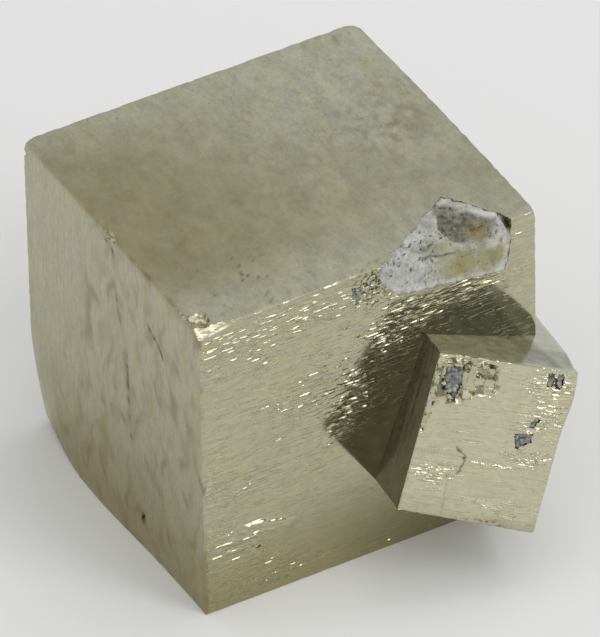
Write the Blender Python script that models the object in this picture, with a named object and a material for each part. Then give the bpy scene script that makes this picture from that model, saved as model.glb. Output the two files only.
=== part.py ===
"""Pyrite specimen: a large striated cube with a smaller cube grown into its front face.

Metres, +Z up. The origin is the middle of the face that the specimen rests on.
-Y is the front, where the small cube grows; +X is the right. A notch on the upper front edge
holds a lining of pale marl, and small pits in the crystals hold more grains of it.
"""

import math

import bmesh
import bpy
from mathutils import Euler, Matrix, Vector

MM = 0.001

# Large crystal
LARGE_WIDTH = 32.2 * MM
LARGE_DEPTH = 30.0 * MM
LARGE_HEIGHT = 30.0 * MM
BLUNT_CORNER = 0.5 * MM

# Worn lower left back corner: how far it reaches along the back, the left side and the upright edge
WORN_BACK = 9.0 * MM
WORN_SIDE = 9.5 * MM
WORN_UPRIGHT = 8.0 * MM

# Small crystal: width and height of its outer face, and its depth into the large one
SMALL_WIDTH = 12.3 * MM
SMALL_DEPTH = 13.0 * MM
SMALL_HEIGHT = 14.1 * MM
SMALL_TILT = Euler([math.radians(a) for a in (-16.7, 19.7, -18.5)])
# Upper left corner of its outer face, from the large crystal's lower front left corner
SMALL_CORNER = Vector((20.43, -3.95, 22.39)) * MM

# Marl in the notch on the upper front edge
NOTCH_DEPTH = 4.0 * MM
NOTCH_TAPER = 0.62
HOLLOW_RIM_DEPTH = 0.9 * MM
HOLLOW_RIM_SCALE = 0.6
HOLLOW_DEPTH = 2.4 * MM
NOTCH_REACH = 6.0 * MM

OUT_OF_NOTCH = Vector((0, -1, 1)).normalized()

# Clearances between the crystals and the marl
GAP = 0.3 * MM
GRAIN_GAP = 0.1 * MM

FRONT = -LARGE_DEPTH / 2
LEFT = -LARGE_WIDTH / 2
RIGHT = LARGE_WIDTH / 2
TOP = LARGE_HEIGHT

# Outline of the notch: distance to the left of the upper front right corner, then distance back
# from the front edge over the top face, or down from it over the front face
NOTCH_OVER_TOP = ((2.7, 0.1), (3.9, 2.4), (6.1, 5.7), (7.5, 4.8), (10.0, 3.2), (12.0, 1.8), (14.4, 0.7))
NOTCH_DOWN_FRONT = ((16.2, 1.1), (14.6, 2.6), (13.3, 3.7), (11.9, 3.8), (7.7, 4.4), (3.4, 5.2), (2.8, 3.6))

# Pits with marl on the small crystal's outer face: node name, then the outline of the fill as
# distances to the right of and below the face's upper left corner
FACE_FILLS = (
    ("face_fill", ((0.8, 1.2), (2.3, 1.0), (2.5, 2.4), (2.2, 3.6), (1.5, 3.4), (1.3, 2.4))),
    ("corner_fill_left", ((9.95, 0.5), (10.35, 0.45), (10.4, 1.5), (10.0, 1.5))),
    ("corner_fill_right", ((10.75, 0.45), (11.25, 0.5), (11.2, 1.6), (10.8, 1.5))),
    ("wedge_fill", ((8.4, 6.1), (9.8, 5.85), (9.8, 6.5), (8.9, 7.3))),
    ("streak_fill", ((9.8, 4.45), (10.1, 4.5), (9.75, 5.3), (9.4, 5.3))),
)
FILL_DEPTH = 0.7 * MM
FILL_SUNK = 0.1 * MM


def from_corner(x, y, z):
    """A point given in millimetres from the large crystal's lower front left corner."""
    return Vector((LEFT + x * MM, FRONT + y * MM, z * MM))


# Chips on the edges: name, centre, size of the bite, and its turn
EDGE_CHIPS = (
    ("front_corner_chip", from_corner(1.0, -0.7, 30.1), Vector((1.7, 1.1, 1.3)) * MM, (0.1, 0.2, 0.0)),
    ("left_corner_chip", from_corner(-0.3, 1.1, 30.4), Vector((0.9, 1.8, 0.9)) * MM, (0.2, 0.0, 0.1)),
    ("left_edge_nick", from_corner(-0.3, 15.3, 30.3), Vector((0.8, 1.0, 0.7)) * MM, (0.0, 0.3, 0.2)),
    ("left_face_slot", from_corner(-0.1, 10.4, 3.2), Vector((0.6, 0.25, 0.5)) * MM, (0.3, 0.0, 0.0)),
)

# Grain of marl half sunk in the front face, left of the notch
SPECK_CENTRE = from_corner(14.9, 0.1, 28.2)
SPECK_SIZE = Vector((0.4, 0.35, 0.5)) * MM


def clear_scene():
    for obj in list(bpy.data.objects):
        bpy.data.objects.remove(obj, do_unlink=True)


def material(name, colour, roughness, metallic):
    made = bpy.data.materials.new(name)
    made.use_nodes = True
    shader = made.node_tree.nodes["Principled BSDF"]
    shader.inputs["Base Color"].default_value = (*colour, 1.0)
    shader.inputs["Roughness"].default_value = roughness
    shader.inputs["Metallic"].default_value = metallic
    made.diffuse_color = (*colour, 1.0)
    return made


def object_from(name, mesh_editor, made_of=None):
    """A scene object from a bmesh, with its faces turned outwards."""
    bmesh.ops.recalc_face_normals(mesh_editor, faces=mesh_editor.faces)
    mesh = bpy.data.meshes.new(name)
    mesh_editor.to_mesh(mesh)
    mesh_editor.free()
    obj = bpy.data.objects.new(name, mesh)
    bpy.context.scene.collection.objects.link(obj)
    if made_of:
        mesh.materials.append(made_of)
    return obj


def subtract(body, cutter):
    """Cuts one helper out of a body, and keeps the helper out of the finished model."""
    cutter.hide_render = True
    cutter.display_type = "WIRE"
    boolean = body.modifiers.new("cut by " + cutter.name, "BOOLEAN")
    boolean.operation = "DIFFERENCE"
    boolean.object = cutter


def box_editor(low, high):
    low, high = Vector(low), Vector(high)
    editor = bmesh.new()
    size = Matrix.Diagonal((*(high - low), 1.0))
    bmesh.ops.create_cube(editor, size=1.0, matrix=Matrix.Translation((low + high) / 2) @ size)
    return editor


def slice_off(editor, point, outward):
    """Takes away what lies beyond a plane and closes the cut."""
    everything = editor.verts[:] + editor.edges[:] + editor.faces[:]
    cut = bmesh.ops.bisect_plane(
        editor, geom=everything, plane_co=point, plane_no=outward, clear_outer=True
    )
    rim = [item for item in cut["geom_cut"] if isinstance(item, bmesh.types.BMEdge)]
    bmesh.ops.contextual_create(editor, geom=rim)


def stone_chip(name, centre, size, turn):
    """A low, uneven lump that bites a chip out of an edge."""
    editor = bmesh.new()
    place = Matrix.Translation(centre) @ Euler(turn).to_matrix().to_4x4()
    place = place @ Matrix.Diagonal((*size, 1.0))
    bmesh.ops.create_icosphere(editor, subdivisions=2, radius=1.0, matrix=place)
    return object_from(name, editor)


def small_crystal_place():
    """Matrix of the small crystal: x along its width, y into the large crystal, z up its face."""
    corner = Vector((LEFT, FRONT, 0)) + SMALL_CORNER
    return Matrix.Translation(corner) @ SMALL_TILT.to_matrix().to_4x4()


def small_crystal_editor(swell):
    """The small cube, larger by swell on every side."""
    editor = box_editor(
        (-swell, -swell, -SMALL_HEIGHT - swell),
        (SMALL_WIDTH + swell, SMALL_DEPTH + swell, swell),
    )
    bmesh.ops.transform(editor, matrix=small_crystal_place(), verts=editor.verts)
    return editor


def notch_outline():
    """Points round the notch, where it meets the top face and then the front face."""
    over_top = [Vector((RIGHT - left * MM, FRONT + back * MM, TOP)) for left, back in NOTCH_OVER_TOP]
    down_front = [Vector((RIGHT - left * MM, FRONT, TOP - down * MM)) for left, down in NOTCH_DOWN_FRONT]
    return over_top + down_front


def middle_of(points):
    return sum(points, Vector()) / len(points)


def shrunk(points, scale, inset):
    """The points drawn towards their middle by a scale, and then by a fixed distance."""
    middle = middle_of(points)
    drawn = [middle + (point - middle) * scale for point in points]
    return [point - (point - middle).normalized() * inset for point in drawn]


def ring(editor, points):
    return [editor.verts.new(point) for point in points]


def join_rings(editor, first, second):
    count = len(first)
    for i in range(count):
        j = (i + 1) % count
        editor.faces.new((first[i], first[j], second[j], second[i]))


def close_with_point(editor, edge_ring, tip):
    tip_vertex = editor.verts.new(tip)
    count = len(edge_ring)
    for i in range(count):
        editor.faces.new((edge_ring[i], edge_ring[(i + 1) % count], tip_vertex))


def notch_cutter():
    outline = notch_outline()
    editor = bmesh.new()
    outer = ring(editor, [point + OUT_OF_NOTCH * NOTCH_REACH for point in outline])
    mouth = ring(editor, outline)
    floor_points = [p - OUT_OF_NOTCH * NOTCH_DEPTH for p in shrunk(outline, NOTCH_TAPER, 0)]
    floor = ring(editor, floor_points)
    join_rings(editor, outer, mouth)
    join_rings(editor, mouth, floor)
    close_with_point(editor, outer, middle_of(outline) + OUT_OF_NOTCH * NOTCH_REACH)
    close_with_point(editor, floor, middle_of(floor_points))
    return object_from("notch_cutter", editor)


def notch_matrix(marl):
    """The marl lining: it fills the notch's walls and floor, and is hollow towards the outside."""
    outline = shrunk(notch_outline(), 1.0, GAP)
    rim_points = [p - OUT_OF_NOTCH * HOLLOW_RIM_DEPTH for p in shrunk(outline, HOLLOW_RIM_SCALE, 0)]
    floor_depth = NOTCH_DEPTH - GAP
    floor_points = [p - OUT_OF_NOTCH * floor_depth for p in shrunk(outline, NOTCH_TAPER, GAP / 2)]
    editor = bmesh.new()
    mouth = ring(editor, outline)
    rim = ring(editor, rim_points)
    floor = ring(editor, floor_points)
    join_rings(editor, mouth, rim)
    join_rings(editor, mouth, floor)
    close_with_point(editor, rim, middle_of(outline) - OUT_OF_NOTCH * HOLLOW_DEPTH)
    close_with_point(editor, floor, middle_of(floor_points))
    return object_from("notch_matrix", editor, marl)


def prism_editor(outline, near, far):
    """A straight prism on the small crystal's outer face, between two depths into it."""
    editor = bmesh.new()
    points = [Vector((right, 0, -down)) for right, down in outline]
    into = Vector((0, 1, 0))
    near_ring = ring(editor, [point + into * near for point in points])
    far_ring = ring(editor, [point + into * far for point in points])
    join_rings(editor, near_ring, far_ring)
    editor.faces.new(near_ring)
    editor.faces.new(far_ring)
    bmesh.ops.transform(editor, matrix=small_crystal_place(), verts=editor.verts)
    return editor


def swollen_outline(outline, amount):
    """A flat outline in metres, pushed away from its middle by amount."""
    points = [Vector((right * MM, down * MM)) for right, down in outline]
    middle = sum(points, Vector((0, 0))) / len(points)
    return [tuple(point + (point - middle).normalized() * amount) for point in points]


def edge_speck(marl):
    editor = bmesh.new()
    grain = Matrix.Translation(SPECK_CENTRE) @ Matrix.Diagonal((*SPECK_SIZE, 1.0))
    bmesh.ops.create_icosphere(editor, subdivisions=2, radius=1.0, matrix=grain)
    return object_from("edge_speck", editor, marl)


def large_crystal(pyrite):
    editor = box_editor((LEFT, FRONT, 0), (RIGHT, -FRONT, TOP))
    cut_off_worn_corner(editor)
    for side in (LEFT, RIGHT):
        for end in (FRONT, -FRONT):
            corner = Vector((side, end, TOP))
            outward = Vector((math.copysign(1, side), math.copysign(1, end), 1)).normalized()
            slice_off(editor, corner - outward * BLUNT_CORNER / 2, outward)
    body = object_from("large_crystal", editor, pyrite)
    subtract(body, notch_cutter())
    subtract(body, object_from("small_crystal_socket", small_crystal_editor(GAP)))
    for name, centre, size, turn in EDGE_CHIPS:
        subtract(body, stone_chip(name, centre, size, turn))
    pit_size = [length + GRAIN_GAP for length in SPECK_SIZE]
    subtract(body, stone_chip("speck_pit", SPECK_CENTRE, pit_size, (0, 0, 0)))
    return body


def cut_off_worn_corner(editor):
    """Two planes round off the lower left back corner, the flatter one near the base."""
    back = -FRONT
    on_side = Vector((LEFT, back - WORN_SIDE, 0))
    on_back = Vector((LEFT + WORN_BACK, back, 0))
    on_upright = Vector((LEFT, back, WORN_UPRIGHT))
    bulge = Vector((LEFT, back, 0)) + Vector((0.6, -0.9, 1.3)) * MM
    for first, second in ((on_side, on_back), (on_back, on_upright), (on_upright, on_side)):
        outward = (first - bulge).cross(second - bulge).normalized()
        if outward.dot(bulge - Vector((0, 0, TOP / 2))) < 0:
            outward.negate()
        slice_off(editor, bulge, outward)


def small_crystal(pyrite):
    body = object_from("small_crystal", small_crystal_editor(0), pyrite)
    for name, outline in FACE_FILLS:
        pit = prism_editor(swollen_outline(outline, GRAIN_GAP), -FILL_DEPTH, FILL_DEPTH + GRAIN_GAP)
        subtract(body, object_from(name + "_pit", pit))
    return body


def face_fills(marl):
    for name, outline in FACE_FILLS:
        object_from(name, prism_editor(swollen_outline(outline, 0), FILL_SUNK, FILL_DEPTH), marl)


def main():
    clear_scene()
    large_crystal(material("pyrite_large", (0.36, 0.34, 0.26), 0.28, 1.0))
    small_crystal(material("pyrite_small", (0.47, 0.45, 0.35), 0.22, 1.0))
    notch_matrix(material("marl_crust", (0.50, 0.51, 0.48), 0.9, 0.0))
    grey_marl = material("marl_grey", (0.16, 0.18, 0.20), 0.85, 0.0)
    face_fills(grey_marl)
    edge_speck(grey_marl)


main()
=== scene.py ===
"""Pyrite specimen: a striated cube with a smaller cube grown into its front face.

Run as a script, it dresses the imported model: two pyrite crystals with terraces, growth lines,
chips and tarnish, the marl in the notch and the pits, and a plain pale stage with soft light.
Lengths in the property groups are metres. The shapes are worked out in millimetres, from the
large crystal's lower front left corner or along the small crystal's own axes.
"""

import math
from collections import namedtuple

import bmesh
import bpy
import numpy as np
from bpy.props import FloatProperty, FloatVectorProperty, PointerProperty
from mathutils import Matrix, Vector


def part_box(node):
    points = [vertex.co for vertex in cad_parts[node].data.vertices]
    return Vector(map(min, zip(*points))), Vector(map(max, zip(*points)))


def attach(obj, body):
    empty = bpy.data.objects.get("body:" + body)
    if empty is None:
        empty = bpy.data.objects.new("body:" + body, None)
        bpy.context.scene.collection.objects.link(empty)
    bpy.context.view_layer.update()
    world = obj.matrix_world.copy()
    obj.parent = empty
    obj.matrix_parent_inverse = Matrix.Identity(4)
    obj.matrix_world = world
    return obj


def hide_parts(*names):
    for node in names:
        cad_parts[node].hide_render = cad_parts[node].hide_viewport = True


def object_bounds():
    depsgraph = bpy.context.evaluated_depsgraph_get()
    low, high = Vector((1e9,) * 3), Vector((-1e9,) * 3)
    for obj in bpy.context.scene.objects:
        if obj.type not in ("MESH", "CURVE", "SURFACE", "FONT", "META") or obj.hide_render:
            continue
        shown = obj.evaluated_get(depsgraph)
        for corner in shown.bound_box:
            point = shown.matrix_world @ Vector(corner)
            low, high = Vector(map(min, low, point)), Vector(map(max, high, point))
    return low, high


bl_info = {
    "name": "Pyrite specimen",
    "version": (1, 0, 0),
    "blender": (4, 5, 0),
    "location": "View3D > Sidebar > Pyrite",
    "description": "Builds a pyrite cube with a smaller cube and marl grown into it",
    "category": "Object",
}

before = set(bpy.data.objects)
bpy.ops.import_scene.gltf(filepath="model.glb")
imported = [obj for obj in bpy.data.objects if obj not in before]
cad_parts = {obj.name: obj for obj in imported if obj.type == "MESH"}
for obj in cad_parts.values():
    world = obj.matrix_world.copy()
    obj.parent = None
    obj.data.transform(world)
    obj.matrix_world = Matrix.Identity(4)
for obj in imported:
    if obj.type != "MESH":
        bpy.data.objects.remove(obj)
CAD_BOUNDS = [list(corner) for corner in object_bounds()]

MM = 0.001
BODY = "root"
LARGE_LOW, LARGE_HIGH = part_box("large_crystal")
SPECIMEN_MIDDLE = sum((Vector(corner) for corner in CAD_BOUNDS), Vector()) / 2
WIDTH_MM, DEPTH_MM, HEIGHT_MM = (LARGE_HIGH - LARGE_LOW) / MM
LARGE_SIZE_MM = np.array([WIDTH_MM, DEPTH_MM, HEIGHT_MM])
OUT_OF_NOTCH = Vector((0, -1, 1)).normalized()
UP_THE_NOTCH = Vector((0, 1, 1)).normalized()

# Further than any distance on the specimen
FAR = 1e9

# A box face: the axis it faces, its side of that axis, and its own two directions
SIDES = {
    "front": (1, 0, 0, 2),
    "back": (1, 1, 2, 0),
    "right": (0, 1, 1, 2),
    "left": (0, 0, 2, 1),
    "top": (2, 1, 0, 1),
    "bottom": (2, 0, 1, 0),
}


# ---------------------------------------------------------------- numbers


def smooth(t):
    t = np.clip(t, 0.0, 1.0)
    return t * t * (3 - 2 * t)


def step_between(low, high, value):
    return smooth((value - low) / (high - low))


def noise(x, y, z=0.0, seed=0):
    """Smooth random values from -1 to 1, one for each point."""
    x, y, z = np.broadcast_arrays(np.asarray(x, float), y, z)
    generator = np.random.default_rng(seed)
    shuffle = generator.permutation(256)
    slopes = generator.normal(size=(256, 3))
    slopes /= np.linalg.norm(slopes, axis=1)[:, None]
    cell = [np.floor(v).astype(int) for v in (x, y, z)]
    inside = [v - c for v, c in zip((x, y, z), cell)]
    blend = [t * t * t * (t * (t * 6 - 15) + 10) for t in inside]
    total = np.zeros(x.shape)
    for i in (0, 1):
        for j in (0, 1):
            for k in (0, 1):
                key = shuffle[(cell[0] + i) & 255]
                key = shuffle[(key + cell[1] + j) & 255]
                key = shuffle[(key + cell[2] + k) & 255]
                slope = slopes[key]
                value = slope[..., 0] * (inside[0] - i) + slope[..., 1] * (inside[1] - j)
                value = value + slope[..., 2] * (inside[2] - k)
                weight = 1.0
                for axis, corner in enumerate((i, j, k)):
                    weight = weight * (blend[axis] if corner else 1 - blend[axis])
                total += value * weight
    return total * 1.6


def fractal(x, y, z=0.0, seed=0, octaves=4, gain=0.5):
    total, strength = 0.0, 1.0
    for octave in range(octaves):
        scale = 2.0**octave
        total = total + strength * noise(x * scale, y * scale, z * scale, seed + octave)
        strength *= gain
    return total


def terraces(value, count, riser=0.18):
    """Turns a smooth value into flat levels joined by short slopes."""
    scaled = value * count
    level = np.floor(scaled)
    return (level + step_between(1 - riser, 1.0, scaled - level)) / count


def blob(x, y, centre_x, centre_y, size_x, size_y):
    return np.exp(-(((x - centre_x) / size_x) ** 2) - ((y - centre_y) / size_y) ** 2)


def patches(x, y, rows):
    """The sum of some blobs, given as rows of centre, size both ways and strength."""
    return sum(k * blob(x, y, cx, cy, sx, sy) for cx, cy, sx, sy, k in rows)


def line_distance(x, y, points):
    """Distance from each (x, y) to a broken line."""
    best = np.full(np.shape(x), FAR)
    for (ax, ay), (bx, by) in zip(points[:-1], points[1:]):
        dx, dy = bx - ax, by - ay
        t = np.clip(((x - ax) * dx + (y - ay) * dy) / (dx * dx + dy * dy), 0, 1)
        best = np.minimum(best, np.hypot(x - ax - t * dx, y - ay - t * dy))
    return best


def ledges(along, across, length, width, crowding, seed):
    """Thin raised slivers drawn out along the growth lines; crowding runs from 0 to 1."""
    ripple = noise(along / length, across / width, seed=seed)
    need = 1.05 - 0.9 * crowding
    return step_between(need, need + 0.14, ripple)


def facets(a, b, size, slope, seed):
    """A patch broken into small flat facets, each tilted its own way: heights, and distance from
    the cracks between them."""
    generator = np.random.default_rng(seed)
    spots = generator.uniform(0.1, 0.9, (64, 64, 2))
    tilts = generator.uniform(-slope, slope, (64, 64, 3))
    a, b = a / size, b / size
    cell_a, cell_b = np.floor(a).astype(int), np.floor(b).astype(int)
    nearest, second = np.full(a.shape, 9.0), np.full(a.shape, 9.0)
    height = np.zeros(a.shape)
    for i in (-1, 0, 1):
        for j in (-1, 0, 1):
            key = (cell_a + i) & 63, (cell_b + j) & 63
            away_a = a - cell_a - i - spots[key][..., 0]
            away_b = b - cell_b - j - spots[key][..., 1]
            distance = np.hypot(away_a, away_b)
            tilt = tilts[key]
            level = 0.5 * tilt[..., 2] + tilt[..., 0] * away_a + tilt[..., 1] * away_b
            closer = distance < nearest
            second = np.where(closer, nearest, np.minimum(second, distance))
            nearest = np.where(closer, distance, nearest)
            height = np.where(closer, level, height)
    return height * size, (second - nearest) * size


def inside_distance(x, y, outline):
    """Distance to a closed outline, positive inside it and negative outside."""
    closed = (*outline, outline[0])
    inside = np.zeros(np.shape(x), bool)
    for (ax, ay), (bx, by) in zip(closed[:-1], closed[1:]):
        crosses = (ay > y) != (by > y)
        at = ax + (y - ay) * (bx - ax) / (by - ay if by != ay else 1e-9)
        inside ^= crosses & (x < at)
    return np.where(inside, 1, -1) * line_distance(x, y, closed)


# ---------------------------------------------------------------- meshes

BALL_DETAIL = 4


def face_lines(low, high, cells, strip, focus=None):
    """Grid line positions across a face, the outer ones a strip's width from the edge.

    focus = (centre, reach, gain) sets the lines closer together round a place.
    """
    even = np.linspace(low + strip, high - strip, 2000)
    density = np.ones(len(even))
    if focus:
        centre, reach, gain = focus
        density += gain * np.exp(-(((even - centre) / reach) ** 2))
    share = np.concatenate([[0], np.cumsum((density[1:] + density[:-1]) / 2)])
    return np.interp(np.linspace(0, share[-1], cells), share, even)


def zip_rows(outer, outer_at, inner, inner_at, faces):
    """Fills the band between two rows of vertices that have different counts."""
    i = j = 0
    while i < len(outer) - 1 or j < len(inner) - 1:
        go_outer = j == len(inner) - 1
        if not go_outer and i < len(outer) - 1:
            go_outer = outer_at[i + 1] <= inner_at[j + 1]
        if go_outer:
            faces.append((outer[i], outer[i + 1], inner[j]))
            i += 1
        else:
            faces.append((outer[i], inner[j + 1], inner[j]))
            j += 1


def block_mesh(low, high, cells, edge_cell, strip, relief, wear):
    """Vertices and faces of a closed box in millimetres.

    Each side has its own grid. relief(side, position) gives heights out of the side, and
    wear(position) gives how far the edges are worn in.
    """
    corners = (np.asarray(low, float), np.asarray(high, float))
    points, faces = [], []
    corner_index = {}
    for key in np.ndindex(2, 2, 2):
        corner_index[key] = len(points)
        inwards = np.array([1 - 2 * k for k in key])
        place = np.array([corners[k][axis] for axis, k in enumerate(key)])
        points.append(place + inwards * wear(place[None])[0])
    edge_rows = {}
    for axis in range(3):
        others = [other for other in range(3) if other != axis]
        count = int(round((corners[1][axis] - corners[0][axis]) / edge_cell))
        along = np.linspace(corners[0][axis], corners[1][axis], count + 1)[1:-1]
        for ends in np.ndindex(2, 2):
            places = np.zeros((len(along), 3))
            places[:, axis] = along
            inwards = np.zeros(3)
            for other, end in zip(others, ends):
                places[:, other] = corners[end][other]
                inwards[other] = 1 - 2 * end
            places += inwards * wear(places)[:, None]
            start = len(points)
            points.extend(places)
            edge_rows[(axis, ends)] = (list(range(start, start + len(along))), along)
    for side in SIDES:
        add_side(side, corners, cells[side], strip, relief, points, faces, corner_index, edge_rows)
    return np.array(points), faces


def add_side(side, corners, counts, strip, relief, points, faces, corner_index, edge_rows):
    axis, end, a_axis, b_axis = SIDES[side]
    focus = counts[2:] or (None, None)
    a_lines = face_lines(corners[0][a_axis], corners[1][a_axis], counts[0], strip, focus[0])
    b_lines = face_lines(corners[0][b_axis], corners[1][b_axis], counts[1], strip, focus[1])
    a_grid, b_grid = np.meshgrid(a_lines, b_lines, indexing="ij")
    places = np.zeros((a_grid.size, 3))
    places[:, a_axis] = a_grid.ravel()
    places[:, b_axis] = b_grid.ravel()
    places[:, axis] = corners[end][axis]
    places[:, axis] += (2 * end - 1) * relief(side, places)
    start = len(points)
    points.extend(places)
    index = start + np.arange(a_grid.size).reshape(a_grid.shape)
    for i in range(counts[0] - 1):
        low_row, high_row = index[i], index[i + 1]
        faces.extend(zip(low_row[:-1], high_row[:-1], high_row[1:], low_row[1:]))

    def edge(varying, fixed_axis, fixed_end, backwards):
        others = sorted({0, 1, 2} - {varying})
        ends = tuple(end if other == axis else fixed_end for other in others)
        row, along = edge_rows[(varying, ends)]
        first, last = [0, 0, 0], [0, 0, 0]
        for key, where in ((first, 0), (last, 1)):
            key[axis], key[fixed_axis], key[varying] = end, fixed_end, where
        row = [corner_index[tuple(first)], *row, corner_index[tuple(last)]]
        along = [corners[0][varying], *along, corners[1][varying]]
        if backwards:
            return row[::-1], [-value for value in along[::-1]]
        return row, along

    rings = (
        (a_axis, b_axis, 0, False, index[:, 0], a_lines),
        (b_axis, a_axis, 1, False, index[-1, :], b_lines),
        (a_axis, b_axis, 1, True, index[::-1, -1], -a_lines[::-1]),
        (b_axis, a_axis, 0, True, index[0, ::-1], -b_lines[::-1]),
    )
    for varying, fixed_axis, fixed_end, backwards, inner, inner_at in rings:
        outer, outer_at = edge(varying, fixed_axis, fixed_end, backwards)
        zip_rows(outer, outer_at, list(inner), list(inner_at), faces)


def grid_solid_mesh(a_lines, b_lines, top, bottom):
    """A closed slab over a rectangular grid: top and bottom are heights at the grid points."""
    count_a, count_b = len(a_lines), len(b_lines)
    a_grid, b_grid = np.meshgrid(a_lines, b_lines, indexing="ij")
    upper = np.stack([a_grid, b_grid, top], -1).reshape(-1, 3)
    lower = np.stack([a_grid, b_grid, bottom], -1).reshape(-1, 3)
    index = np.arange(count_a * count_b).reshape(count_a, count_b)
    below = index + index.size
    faces = []
    for i in range(count_a - 1):
        for first, turn in ((index, 1), (below, -1)):
            quads = zip(first[i, :-1], first[i + 1, :-1], first[i + 1, 1:], first[i, 1:])
            faces.extend(quad[::turn] for quad in quads)
    rim = [*index[:, 0], *index[-1, 1:], *index[-2::-1, -1], *index[0, -2:0:-1]]
    for here, following in zip(rim, rim[1:] + rim[:1]):
        faces.append((following, here, here + index.size, following + index.size))
    return np.concatenate([upper, lower]), faces


def edge_inset(side, place, size):
    """How far each place on a side of a box is from that side's nearest edge."""
    inset = np.full(len(place), FAR)
    for direction in SIDES[side][2:]:
        along = place[:, direction]
        inset = np.minimum(inset, np.minimum(along, size[direction] - along))
    return inset


def new_object(name, points, faces):
    mesh = bpy.data.meshes.new(name)
    mesh.from_pydata([tuple(point) for point in points], [], [tuple(map(int, f)) for f in faces])
    mesh.update()
    made = bpy.data.objects.new(name, mesh)
    bpy.context.scene.collection.objects.link(made)
    return made


def rough_ball(centre, size, turn, lumps, seed):
    """Points and faces of an uneven ball, for a bite out of an edge."""
    editor = bmesh.new()
    bmesh.ops.create_icosphere(editor, subdivisions=BALL_DETAIL, radius=1.0)
    points = np.array([vertex.co for vertex in editor.verts])
    faces = [[vertex.index for vertex in face.verts] for face in editor.faces]
    editor.free()
    grow = 1 + lumps * fractal(*points.T, seed=seed, octaves=4, gain=0.55)
    points = points * grow[:, None] * np.asarray(size)
    rotation = np.array(Matrix.Rotation(turn[2], 3, "Z") @ Matrix.Rotation(turn[1], 3, "Y"))
    rotation = rotation @ np.array(Matrix.Rotation(turn[0], 3, "X"))
    return points @ rotation.T + np.asarray(centre), faces


def boolean(body, cutter, operation="DIFFERENCE"):
    """Cuts with a helper, which is then taken away."""
    modifier = body.modifiers.new("cut", "BOOLEAN")
    modifier.operation = operation
    modifier.solver = "MANIFOLD"
    modifier.object = cutter
    apply_modifiers(body)
    mesh = cutter.data
    bpy.data.objects.remove(cutter)
    bpy.data.meshes.remove(mesh)


def apply_modifiers(obj):
    graph = bpy.context.evaluated_depsgraph_get()
    finished = bpy.data.meshes.new_from_object(obj.evaluated_get(graph))
    old = obj.data
    obj.modifiers.clear()
    obj.data = finished
    bpy.data.meshes.remove(old)
    finished.name = obj.name


def positions(mesh):
    flat = np.empty(len(mesh.vertices) * 3)
    mesh.vertices.foreach_get("co", flat)
    return flat.reshape(-1, 3)


def face_data(mesh):
    count = len(mesh.polygons)
    centres, normals = np.empty(count * 3), np.empty(count * 3)
    mesh.polygons.foreach_get("center", centres)
    mesh.polygons.foreach_get("normal", normals)
    return centres.reshape(-1, 3), normals.reshape(-1, 3)


def paint(mesh, name, values):
    """Stores one value for each vertex, for a material to read."""
    layer = mesh.attributes.new(name, "FLOAT", "POINT")
    layer.data.foreach_set("value", np.clip(values, 0, 1).astype(np.float32))


def paint_place(mesh, points):
    """Stores each vertex's place along the crystal's own axes, in millimetres."""
    layer = mesh.attributes.new("grown", "FLOAT_VECTOR", "POINT")
    layer.data.foreach_set("vector", points.astype(np.float32).ravel())


def finish_surface(obj, sharp_angle):
    obj.data.shade_smooth()
    obj.data.set_sharp_from_angle(angle=math.radians(sharp_angle))


# ---------------------------------------------------------------- materials


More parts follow.
